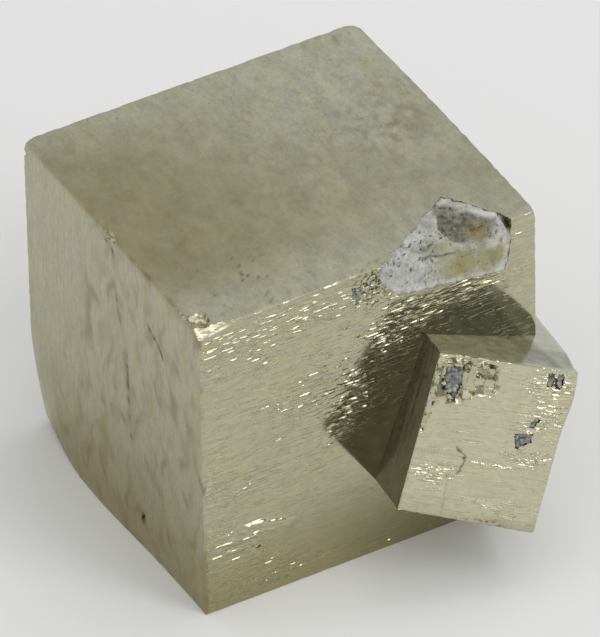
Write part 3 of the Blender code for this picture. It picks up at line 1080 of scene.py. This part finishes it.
def small_face_relief(right, down, step_mm):
    down = down + 0.05 * noise(right / 0.5, down / 2.0, seed=83)
    height = np.zeros(len(right))
    for line, share in RISERS:
        across, depth = np.array(line).T
        jag = 0.14 * terraces(noise(right / 0.9, right * 0 + share * 7, seed=84), 4)
        edge = np.interp(right, across, depth) + jag
        fading = 0.45 + 0.55 * noise(right / 1.8, right * 0 + share * 3, seed=80)
        height += share * fading * step_mm * step_between(-0.02, 0.05, down - edge)
    crowding = small_crowding(right, down)
    height += 0.050 * ledges(right, down, 1.6, 0.26, 0.9 * crowding, 81)
    height += 0.038 * ledges(right, down, 0.7, 0.15, crowding, 82)
    rough = patches(right, down, CHUNKS)
    rough = step_between(0.30, 0.55, rough + 0.12 * noise(right / 0.5, down / 0.5, seed=90))
    height += 0.9 * rough * facets(right, down, *SMALL_FACETS)[0]
    scratch = line_distance(right, down, SMALL_SCRATCH)
    return height - 0.03 * np.exp(-((scratch / 0.06) ** 2))


def small_relief(side, place):
    right, inward, up = place.T
    if side == "front":
        step_mm = bpy.context.scene.small_crystal.step_height / MM
        height = small_face_relief(right, SMALL_SIZE_MM[2] - up, step_mm) - 0.5 * step_mm
    elif side == "top":
        height = 0.015 * fractal(right / 3, inward / 3, seed=85, octaves=2)
    elif side in ("left", "right"):
        height = 0.02 * fractal(inward / 0.8, up / 5, seed=86 + SIDES[side][1], octaves=2)
    else:
        height = 0.03 * fractal(right / 3, inward / 3, up / 3, seed=88)
    return height * step_between(0.0, 0.25, edge_inset(side, place, SMALL_SIZE_MM))


def small_wear(place):
    right, inward, up = place.T
    down = SMALL_SIZE_MM[2] - up
    jag = step_between(0.0, 0.6, noise(right / 0.4, inward / 0.4, up / 0.4, seed=89))
    left_edge = step_between(0.8, 0.0, right) * step_between(8.5, 6.0, down)
    foot = step_between(0.8, 0.0, up)
    return 0.02 + jag * (0.05 + 0.22 * left_edge + 0.30 * foot)


def small_warp(points):
    """Swells the plain box where the real cube's right and lower edges stand out."""
    right, inward, up = points.T
    width, depth, height = SMALL_SIZE_MM
    moved = points.copy()
    lower = step_between(3.0, 0.0, up) * (right / width)
    moved[:, 2] -= 0.38 * lower
    shoulder = step_between(0.5, 4.5, inward) * step_between(width - 5.0, width, right)
    moved[:, 2] += 0.28 * shoulder * step_between(height - 5.0, height, up)
    moved[:, 0] += 0.15 * shoulder * step_between(height - 5.0, height, up)
    upper = blob(up, right * 0, height - 2.4, 0, 2.0, 1) * step_between(width - 3.0, width, right)
    moved[:, 0] += 0.28 * upper
    return moved


# The grains in pits on the small crystal's outer face
GRAIN_NODES = ("face_fill", "corner_fill_left", "corner_fill_right", "wedge_fill", "streak_fill")
GRAIN_VOXEL_MM = 0.055


def grain_object(node, name, swell, proud):
    """A lumpy grain with the place and outline of its plain solid.

    swell is how far it is grown all round to cut a pit, and proud how far it stands out in front,
    both in millimetres.
    """
    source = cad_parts[node].data
    made = bpy.data.objects.new(name, source.copy())
    made.data.materials.clear()
    bpy.context.scene.collection.objects.link(made)
    remesh = made.modifiers.new("finer", "REMESH")
    remesh.mode = "VOXEL"
    remesh.voxel_size = GRAIN_VOXEL_MM * MM
    apply_modifiers(made)
    points = positions(made.data)
    local = frame_to_small(points) if node in GRAIN_NODES else from_frame(points)
    middle = local.mean(0)
    outward = local - middle
    outward /= np.linalg.norm(outward, axis=1)[:, None] + 1e-9
    wobble = 0.15 * (local[:, 0].max() - local[:, 0].min()) + 0.05
    lumps = wobble * fractal(*(local.T / 0.35), seed=len(node), octaves=4, gain=0.6)
    if swell:
        local = local + outward * (lumps + swell)[:, None]
        front = local[:, 1] < middle[1]
        local[front, 1] -= proud
    else:
        local = local + outward * lumps[:, None]
        local[:, 1] += 0.06 * fractal(*(local.T / 0.2), seed=5, octaves=2)
        front = step_between(middle[1], middle[1] - 0.2, local[:, 1])
        local[:, 1] -= proud * front
    placed = small_to_frame(local) if node in GRAIN_NODES else to_frame(local)
    made.data.vertices.foreach_set("co", placed.ravel())
    made.data.update()
    return made


# ---------------------------------------------------------------- operators

# On the large crystal's left side: distance back from the front edge and up from the base
LEFT_CRACK = (
    (17.2, 29.7), (14.7, 28.8), (14.1, 23.9), (13.4, 21.2), (12.5, 18.6), (12.7, 15.0), (12.4, 10.1),
)
LEFT_TICK = ((8.9, 24.8), (7.1, 24.0), (6.3, 23.1))
LEFT_DOT = (7.9, 25.5)
# The rusty crack on the small crystal: distance right and down from its upper left corner
SMALL_CRACK = ((3.64, 7.9), (4.7, 8.9), (4.3, 10.2))

# A face on a chip lies within this many of the bite's sizes, and this far in from the outer faces
CHIP_REACH = 1.25
CHIP_INSET = 0.07
# A face on the notch's wall lies right of, in front of and above these, this far in from the
# crystal's front and top, and no more than this far below the notch's opening
NOTCH_LEFT, NOTCH_BACK, NOTCH_FOOT = 14, 9, 20
NOTCH_INSET = 0.2
NOTCH_REACH = 9


def set_materials(mesh, materials, kind):
    """Gives each face the material that its number in kind picks."""
    mesh.materials.clear()
    for material in materials:
        mesh.materials.append(material)
    mesh.polygons.foreach_set("material_index", kind.astype(np.int32))


class PYRITE_OT_large_crystal(bpy.types.Operator):
    """Build the large cube with its growth lines, worn corner, chips and notch"""

    bl_idname = "pyrite.large_crystal"
    bl_label = "Large crystal"

    cells = {
        "front": (140, 425, (16.5, 4.0, 1.6), (28.5, 3.0, 0.8)), "left": (80, 120), "top": (100, 100),
        "right": (60, 70), "back": (60, 60), "bottom": (18, 18),
    }

    def execute(self, context):
        look = context.scene.large_crystal
        points, faces = block_mesh(
            (0, 0, 0), LARGE_SIZE_MM, self.cells, 0.18, 0.1, large_relief, large_wear
        )
        points = large_warp(points, look.worn_corner / MM)
        crystal = new_object("large_pyrite", to_frame(points), faces)
        boolean(crystal, notch_cutter(context.scene.marl.hollow_depth / MM))
        boolean(crystal, facet_cutter())
        for bite in EDGE_BITES:
            bite_points, bite_faces = rough_ball(*bite)
            boolean(crystal, new_object("bite", to_frame(bite_points), bite_faces))
        self.paint_stains(crystal.data)
        self.give_materials(crystal, look)
        finish_surface(crystal, 24)
        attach(crystal, BODY)
        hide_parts("large_crystal")
        return {"FINISHED"}

    def paint_stains(self, mesh):
        place = from_frame(positions(mesh))
        x, y, z = place.T
        paint_place(mesh, place)
        on_left = step_between(0.35, 0.1, x)
        on_top = step_between(HEIGHT_MM - 0.6, HEIGHT_MM - 0.2, z)
        on_front = step_between(0.6, 0.2, y)
        wander = 0.35 * noise(z / 1.3, y / 3, seed=91)
        crack = line_distance(y + wander, z, LEFT_CRACK)
        broken = step_between(-0.1, 0.25, noise(z / 1.1, y / 3, seed=94))
        rust = on_left * np.exp(-((crack / 0.30) ** 2)) * (0.35 + 0.5 * broken)
        grime = 0.75 * on_left * np.exp(-((crack / 0.07) ** 2)) * broken
        bent = y + 0.7 * noise(z / 2.2, y / 2.5, seed=43)
        near = step_between(27.0, 21.0, y + 0.3 * z - 3)
        veins = step_between(0.20, 0.03, np.abs(noise(bent / 2.2, z / 6, seed=44)))
        rust += on_left * near * 0.85 * veins * step_between(-0.2, 0.5, noise(y / 2, z / 2.5, seed=47))
        stain = step_between(-0.1, 0.7, fractal(bent / 1.6, z / 3.5, seed=45))
        dot = np.hypot(y - LEFT_DOT[0], z - LEFT_DOT[1])
        ticks = np.minimum(line_distance(y, z, LEFT_TICK), dot)
        grime += 0.9 * on_left * np.exp(-((ticks / 0.12) ** 2))
        grime += 0.9 * on_left * blob(y, z, 10.4, 3.15, 0.35, 0.6)
        spread = 0.5 + 0.8 * noise(x / 1.2, y / 1.2, seed=92)
        rust += on_top * 0.6 * np.clip(blob(x, y, 29.6, 17.0, 2.0, 4.0) * spread, 0, 1)
        pits = step_between(0.44, 0.5, noise(x / 0.35, y / 0.35, seed=93))
        grime += on_top * pits * (0.75 * blob(x, y, 6.0, 4.5, 3.5, 3.5) + 0.12)
        rough = blob(x, z, *ROUGH_SPOT, 1.8, 2.0) * step_between(1.8, 0.6, y)
        grime += rough * step_between(0.1, 0.35, noise(x / 0.3, y / 0.3 + z / 0.3, seed=95))
        # Painted shade: the left side darkens towards its base for the shadowed floor near the crystal that
        # it reflects; the stain blotches are its own tone.
        foot = step_between(13.0, 0.0, z + 2.0 * noise(x / 4, y / 4, z / 3, seed=96))
        tone_and_shade = on_left * np.clip(0.75 * foot + near * 0.65 * stain, 0, 1)
        shadowed = step_between(27.0, 13.0, y + 0.5 * x - 8 + 3 * noise(x / 5, y / 5, seed=48))
        marks = step_between(0.25, 0.9, fractal(x / 1.8, y / 2.6, seed=49, octaves=4, gain=0.65))
        browner = step_between(26.0, 4.0, x) * step_between(33.0, 24.0, y) * step_between(1.0, 9.0, y)
        shadowed = shadowed * (0.4 + 0.6 * step_between(1.0, 8.0, y))
        tone_and_shade += on_top * np.clip(0.30 * shadowed + 0.16 * marks + 0.45 * browner, 0, 1)
        cloud = blob(x, y, 26.5, 16.5, 2.6, 4.5) + 0.6 * blob(x, y, 17.2, 11.9, 3.0, 1.5)
        rust += on_top * 0.6 * cloud * step_between(-0.1, 0.6, fractal(x / 1.2, y / 1.2, seed=50))
        # Painted shade: the front darkens towards its base for the shadowed floor near the crystal that it
        # reflects.
        tone_and_shade += on_front * (0.68 * step_between(10.0, 0.0, z))
        paint(mesh, "rust", rust)
        paint(mesh, "grime", grime)
        paint(mesh, "tone_and_shade", tone_and_shade)
        crowding = 0.10 + 0.25 * noise(x / 4, y / 4, z / 4, seed=46)
        paint(mesh, "crowding", crowding * (1 - on_front) + on_front * front_crowding(x, z))

    def inside_bites(self, centres):
        """True where a face lies on a chip or on the notch's wall."""
        chipped = np.zeros(len(centres), bool)
        x, y, z = centres.T
        for bite_centre, size, *_ in EDGE_BITES:
            nearness = (((centres - bite_centre) / (np.array(size) * CHIP_REACH)) ** 2).sum(1)
            inset = np.minimum(centres, np.array([FAR, FAR, HEIGHT_MM]) - centres).min(1)
            chipped |= (nearness < 1) & (inset > CHIP_INSET)
        in_notch = (x > NOTCH_LEFT) & (x < WIDTH_MM - 1) & (y < NOTCH_BACK) & (z > NOTCH_FOOT)
        in_notch &= (np.minimum(y, HEIGHT_MM - z) > NOTCH_INSET) & (z - HEIGHT_MM - y > -NOTCH_REACH)
        return chipped | in_notch

    def give_materials(self, crystal, look):
        made = (
            pyrite_face_material("pyrite_front", look, FRONT_FINISH),
            pyrite_face_material("pyrite_side", look, SIDE_FINISH),
            pyrite_face_material("pyrite_top", look, TOP_FINISH),
            broken_pyrite_material("pyrite_broken", look),
        )
        front, side, top, broken = range(len(made))
        centres, normals = face_data(crystal.data)
        centres = from_frame(centres)
        kind = np.array([side, front, top])[np.abs(normals).argmax(1)]
        kind[self.inside_bites(centres)] = broken
        set_materials(crystal.data, made, kind)


class PYRITE_OT_small_crystal(bpy.types.Operator):
    """Build the small cube with its steps, ragged edges and pits"""

    bl_idname = "pyrite.small_crystal"
    bl_label = "Small crystal"

    cells = {
        "front": (120, 230), "left": (60, 60), "top": (80, 80),
        "right": (60, 60), "back": (20, 20), "bottom": (60, 40),
    }

    def execute(self, context):
        look = context.scene.small_crystal
        points, faces = block_mesh(
            (0, 0, 0), SMALL_SIZE_MM, self.cells, 0.09, 0.07, small_relief, small_wear
        )
        crystal = new_object("small_pyrite", small_to_frame(small_warp(points)), faces)
        pits = [grain_object(node, node + "_pit", 0.09, 0.5) for node in GRAIN_NODES]
        for pit in pits:
            boolean(crystal, pit)
        mesh = crystal.data
        place = frame_to_small(positions(mesh))
        paint_place(mesh, place)
        right, inward, up = place.T
        down = SMALL_SIZE_MM[2] - up
        wander = 0.22 * noise(right / 0.5, down / 0.35, seed=67)
        crack = line_distance(right + wander, down - wander, SMALL_CRACK)
        scratch = line_distance(right, down, SMALL_SCRATCH)
        on_face = step_between(0.5, 0.3, inward)
        paint(mesh, "rust", on_face * np.exp(-((crack / 0.08) ** 2)))
        low = noise(right / 0.25, up / 0.25, seed=99)
        broken = patches(right, down, CHUNKS)
        cracks = facets(right, down, *SMALL_FACETS)[1]
        upper = step_between(9.8, 9.4, down)
        grime = upper * step_between(0.25, 0.6, broken) * (0.40 * step_between(0.07, 0.02, cracks))
        grime += upper * 0.35 * step_between(0.35, 0.7, broken) * step_between(0.45, 0.65, low)
        grime += 0.25 * np.exp(-((scratch / 0.05) ** 2))
        along_edge = step_between(0.30, 0.08, up) * blob(right, 0, 0.6 * SMALL_SIZE_MM[0], 0, 2.2, 1)
        grime += 0.7 * along_edge * step_between(0.0, 0.35, noise(right / 0.45, up / 0.3, seed=97))
        paint(mesh, "grime", on_face * grime)
        paint(mesh, "crowding", 0.15 + on_face * small_crowding(right, down))
        bands = step_between(0.0, 0.7, fractal(right / 5.0, down / 0.9, seed=66, octaves=3))
        tone_and_shade = 0.3 * step_between(1.2, 0.0, up + 0.4 * low) + 0.16 * bands
        # Painted shade: the small crystal's top darkens in the corner where it meets the large crystal's
        # front.
        shaded_corner = step_between(31.0, 30.2, from_frame(positions(mesh))[:, 0])
        shaded_corner = shaded_corner * step_between(0.3, 0.05, down) * (0.5 + 0.25 * noise(right, inward, seed=65))
        paint(mesh, "tone_and_shade", on_face * tone_and_shade + (1 - on_face) * shaded_corner)
        self.give_materials(mesh, look)
        finish_surface(crystal, 24)
        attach(crystal, BODY)
        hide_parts("small_crystal")
        return {"FINISHED"}

    def give_materials(self, mesh, look):
        made = (
            pyrite_face_material("small_face", look, SMALL_FINISH),
            pyrite_side_material("small_top", look.top_colour),
            broken_pyrite_material("small_broken", look),
            # The left side's dark colour carries painted shade of the crease.
            pyrite_side_material("small_left", look.left_shaded_colour),
        )
        outer, top, broken, left = range(len(made))
        centres, normals = face_data(mesh)
        centres = frame_to_small(centres)
        facing = normals @ SMALL_AXES.T
        away = np.minimum(centres, SMALL_SIZE_MM - centres).min(1)
        kind = np.where(centres[:, 1] < 0.2, outer, top)
        kind[(facing[:, 0] < -0.6) & (centres[:, 0] < 1.0) & (centres[:, 1] > 0.12)] = left
        kind[(away > 0.3) & (facing[:, 1] > -0.99)] = broken
        set_materials(mesh, made, kind)


class PYRITE_OT_notch_marl(bpy.types.Operator):
    """Build the pale, grainy marl that lines the notch"""

    bl_idname = "pyrite.notch_marl"
    bl_label = "Marl in the notch"

    def execute(self, context):
        look = context.scene.marl
        depth_mm = look.hollow_depth / MM
        x_lines, up_lines, x, up = notch_field(0.085)
        left = WIDTH_MM - x
        depth = notch_depth(x, up, depth_mm)
        grains = 0.20 * fractal(x / 0.7, up / 0.7, seed=75, octaves=5, gain=0.65)
        grains += 0.6 * facets(x, up, 0.40, 0.42, 79)[0]
        smoother = 1 - 0.6 * step_between(0, 0.4, inside_distance(left, up, BROWN_PART))
        surface = -depth + grains * smoother - 0.22 * self.speckle(x, up)
        surface = np.minimum(surface, -np.abs(up) - 0.05)
        points, faces = frame_grid(x_lines, up_lines, -depth - 1.3, surface)
        marl = new_object("notch_marl", points, faces)
        boolean(marl, notch_walls("marl_walls", 0.1), "INTERSECT")
        self.paint_marl(marl.data)
        marl.data.materials.clear()
        marl.data.materials.append(marl_material("marl_crust", look, look.crust_colour))
        finish_surface(marl, 40)
        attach(marl, BODY)
        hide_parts("notch_matrix")
        return {"FINISHED"}

    def speckle(self, x, up):
        """Where the dark specks sit, from 0 to 1."""
        crowding = 0.14 * noise(x / 1.5, up / 1.5, seed=72)
        on_wall = 0.10 * step_between(8.0, 9.5, WIDTH_MM - x)
        bent = up + 0.15 * noise(x / 0.4, up / 0.4, seed=68)
        small = step_between(0.49, 0.70, noise(x / 0.25, bent / 0.25, seed=76) + crowding + on_wall)
        large = step_between(0.66, 0.90, noise(x / 0.6, bent / 0.45, seed=74) + crowding + on_wall)
        return np.maximum(0.8 * small, large)

    def paint_marl(self, mesh):
        place = from_frame(positions(mesh))
        paint_place(mesh, place)
        left = WIDTH_MM - place[:, 0]
        up = (place[:, 1] + place[:, 2] - HEIGHT_MM) / math.sqrt(2)
        shape = 0.25 * noise(left / 0.8, up / 0.8, seed=77)
        inner = inside_distance(left, up, HOLLOW) + shape + 0.2
        lighter = 0.75 * np.exp(-((line_distance(left, up, PALE_STREAK) / 0.40) ** 2))
        soft = 0.5 * step_between(7.8, 6.2, left)
        hollow = step_between(-0.10 - soft, 0.30 + soft, inner) * (1 - lighter)
        cloud = 0.35 * step_between(0.1, 0.7, fractal(left / 0.9, up / 0.7, seed=70, octaves=3))
        hollow = np.maximum(hollow, 0.5 * blob(left, up, 9.6, 0.0, 1.3, 0.8) + cloud)
        hollow = np.maximum(hollow, 0.9 * blob(left, up, 3.7, 0.5, 0.4, 0.35))
        hollow = np.maximum(hollow, (0.45 + shape) * blob(left, up, 9.0, 2.0, 0.9, 0.9))
        mottle = np.clip(0.7 + 0.5 * fractal(left / 0.6, up / 0.6, seed=69, octaves=3), 0, 1)
        edge = inside_distance(left, up, BROWN_PART) + 1.5 * shape
        brown = mottle * step_between(-0.7, 0.7, edge)
        brown = brown + 0.75 * blob(left, up, 8.0, -2.0, 2.2, 0.9)
        brown = brown + 1.1 * blob(left, up, 3.7, -2.1, 0.6, 0.7)
        brown = brown + 0.7 * blob(left, up, 8.6, -0.3, 1.2, 0.9)
        rust = blob(left, up, 5.3, 0.2, 1.1, 0.9) + 1.0 * blob(left, up, 7.6, -2.1, 0.8, 0.7)
        rust = 0.65 * step_between(0.2, 0.9, rust + 1.4 * shape)
        rim = np.exp(-((line_distance(left, up, WHITE_RIM) / 0.33) ** 2))
        rim = rim + 0.8 * np.exp(-((line_distance(left, up, LOWER_RIM) / 0.22) ** 2))
        rim = rim + blob(left, up, 4.2, -1.3, 0.45, 0.7)
        specks = self.speckle(place[:, 0], up) * (1 - 0.8 * np.clip(brown + rim, 0, 1)) * 0.8
        specks = specks + 0.8 * np.exp(-((line_distance(left, up, CRACK_LINE) / 0.09) ** 2))
        specks = specks + 0.3 * blob(left, up, *RIM_STEP, 0.28, 0.5)
        brown = brown + blob(left, up, *RIM_STEP, 0.35, 0.6)
        for name, values in (("hollow", hollow), ("brown", brown), ("rust", rust), ("rim", rim)):
            paint(mesh, name, values)
        paint(mesh, "specks", specks)


class PYRITE_OT_marl_grains(bpy.types.Operator):
    """Build the small blue-grey marl grains in the pits"""

    bl_idname = "pyrite.marl_grains"
    bl_label = "Marl grains"

    def execute(self, context):
        look = context.scene.marl
        finish = marl_material("marl_grain", look, look.grain_colour)
        for node in (*GRAIN_NODES, "edge_speck"):
            grain = grain_object(node, node + "_marl", 0, 0.05)
            mesh = grain.data
            place = from_frame(positions(mesh))
            paint_place(mesh, place)
            clouds = noise(*(place.T / 0.3), seed=97)
            paint(mesh, "specks", 0.9 * step_between(0.1, 0.5, clouds))
            paint(mesh, "rim", 0.5 * step_between(-0.2, -0.6, clouds))
            for name in ("hollow", "brown", "rust"):
                paint(mesh, name, np.zeros(len(place)))
            mesh.materials.append(finish)
            finish_surface(grain, 40)
            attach(grain, BODY)
            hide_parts(node)
        return {"FINISHED"}


FLOOR_HALF_WIDTH = 3.0
# Brighter and darker parts of the light tent: their direction, the cosines of the angle where they
# start and where they are full, and how much they add
TENT_LOBES = (
    ((0.0, -0.95, 0.3), 0.3, 1.0, 0.10),
    ((0.8, -0.5, 0.33), 0.75, 0.98, -0.34),
    ((0.4, 0.68, 0.62), 0.6, 1.0, -0.10),
    ((-0.1, -0.2, 1.0), 0.4, 1.0, 0.30),
)
# Name, direction from the specimen, distance and size in metres, and share of the key light's power
SOFT_LIGHTS = (
    ("key", (0.40, -0.70, 0.62), 0.9, (0.30, 0.80), 1.0),
    ("overhead", (0.30, 0.05, 0.95), 0.9, (0.5, 0.5), 0.5),
)
# The view: angles in degrees, the distance in metres and the lens in millimetres
CAMERA_AROUND = -28.87
CAMERA_ABOVE = 38.67
CAMERA_ROLL = -1.16
CAMERA_DISTANCE = 0.9
CAMERA_LENS = 611.3
CAMERA_AIM_MM = (14.67, 9.42, 19.15)


class PYRITE_OT_stage(bpy.types.Operator):
    """Set the pale floor, the soft lights and the camera"""

    bl_idname = "pyrite.stage"
    bl_label = "Stage"

    def execute(self, context):
        look = context.scene.stage_look
        self.floor(look)
        self.surround(look)
        self.lights(look)
        self.camera()
        context.scene.view_settings.view_transform = "Standard"
        return {"FINISHED"}

    def floor(self, look):
        size, height = FLOOR_HALF_WIDTH, LARGE_LOW.z
        signs = ((-1, -1), (1, -1), (1, 1), (-1, 1))
        corners = [(across * size, back * size, height) for across, back in signs]
        floor = new_object("floor", corners, [(0, 1, 2, 3)])
        surface = Surface("floor_paper", 0.85)
        tone = surface.ranged(surface.grain(9 * MM, 3, 0.5), 0.3, 0.7, 0.99, 1.01)
        floor.data.materials.append(
            surface.finish(surface.blend(1.0, tuple(look.floor_colour), tone, "MULTIPLY"))
        )

    def surround(self, look):
        world = bpy.data.worlds.new("light_tent")
        world.use_nodes = True
        bpy.context.scene.world = world
        tree = world.node_tree
        direction = tree.nodes.new("ShaderNodeTexCoord").outputs["Generated"]
        total = None
        for lobe, start, stop, amount in TENT_LOBES:
            dot = tree.nodes.new("ShaderNodeVectorMath")
            dot.operation = "DOT_PRODUCT"
            dot.inputs[1].default_value = Vector(lobe).normalized()
            tree.links.new(direction, dot.inputs[0])
            spread = tree.nodes.new("ShaderNodeMapRange")
            spread.interpolation_type = "SMOOTHSTEP"
            spread.inputs["From Min"].default_value = start
            spread.inputs["From Max"].default_value = stop
            spread.inputs["To Max"].default_value = amount
            tree.links.new(dot.outputs["Value"], spread.inputs["Value"])
            total = self.add(tree, spread.outputs["Result"], total if total else look.sky)
        background = tree.nodes["Background"]
        background.inputs["Color"].default_value = (1.0, 1.0, 1.0, 1.0)
        tree.links.new(total, background.inputs["Strength"])

    def add(self, tree, first, second):
        node = tree.nodes.new("ShaderNodeMath")
        tree.links.new(first, node.inputs[0])
        if isinstance(second, float):
            node.inputs[1].default_value = second
        else:
            tree.links.new(second, node.inputs[1])
        return node.outputs[0]

    def lights(self, look):
        for name, direction, distance, size, share in SOFT_LIGHTS:
            light = bpy.data.lights.new(name, "AREA")
            light.shape = "RECTANGLE"
            light.size, light.size_y = size
            light.energy = look.key_power * share
            lamp = bpy.data.objects.new(name, light)
            away = Vector(direction).normalized()
            lamp.location = SPECIMEN_MIDDLE + away * distance
            lamp.rotation_euler = away.to_track_quat("Z", "Y").to_euler()
            bpy.context.scene.collection.objects.link(lamp)

    def camera(self):
        camera_data = bpy.data.cameras.new("camera")
        camera_data.lens = CAMERA_LENS
        camera_data.clip_start = 0.01
        camera = bpy.data.objects.new("camera", camera_data)
        angles = (CAMERA_AROUND, CAMERA_ABOVE, CAMERA_ROLL)
        around, above, roll = (math.radians(angle) for angle in angles)
        level = math.cos(above)
        back = Vector((math.sin(around) * level, -math.cos(around) * level, math.sin(above)))
        aim = Vector(LARGE_LOW) + Vector(CAMERA_AIM_MM) * MM
        camera.location = aim + back * CAMERA_DISTANCE
        facing = back.to_track_quat("Z", "Y").to_matrix() @ Matrix.Rotation(roll, 3, "Z")
        camera.rotation_euler = facing.to_euler()
        bpy.context.scene.collection.objects.link(camera)
        bpy.context.scene.camera = camera


class PYRITE_PT_panel(bpy.types.Panel):
    """Lists the specimen's pieces in the order they are made"""

    bl_label = "Pyrite specimen"
    bl_idname = "PYRITE_PT_panel"
    bl_space_type = "VIEW_3D"
    bl_region_type = "UI"
    bl_category = "Pyrite"

    def draw(self, context):
        for look, operators in PANEL_ROWS:
            box = self.layout.box()
            group = getattr(context.scene, look)
            for name in group.bl_rna.properties.keys():
                if name not in ("rna_type", "name"):
                    box.prop(group, name)
            for operator in operators:
                box.operator(operator)


PANEL_ROWS = (
    ("large_crystal", ("pyrite.large_crystal",)),
    ("small_crystal", ("pyrite.small_crystal",)),
    ("marl", ("pyrite.notch_marl", "pyrite.marl_grains")),
    ("stage_look", ("pyrite.stage",)),
)

GROUPS = (
    ("large_crystal", LargeCrystalLook),
    ("small_crystal", SmallCrystalLook),
    ("marl", MarlLook),
    ("stage_look", StageLook),
)

CLASSES = (
    LargeCrystalLook,
    SmallCrystalLook,
    MarlLook,
    StageLook,
    PYRITE_OT_large_crystal,
    PYRITE_OT_small_crystal,
    PYRITE_OT_notch_marl,
    PYRITE_OT_marl_grains,
    PYRITE_OT_stage,
    PYRITE_PT_panel,
)


def register():
    for item in CLASSES:
        bpy.utils.register_class(item)
    for name, group in GROUPS:
        setattr(bpy.types.Scene, name, PointerProperty(type=group))


def unregister():
    for name, _ in GROUPS:
        delattr(bpy.types.Scene, name)
    for item in reversed(CLASSES):
        bpy.utils.unregister_class(item)


def main():
    register()
    bpy.ops.pyrite.large_crystal()
    bpy.ops.pyrite.small_crystal()
    bpy.ops.pyrite.notch_marl()
    bpy.ops.pyrite.marl_grains()
    bpy.ops.pyrite.stage()


if __name__ == "__main__":
    main()
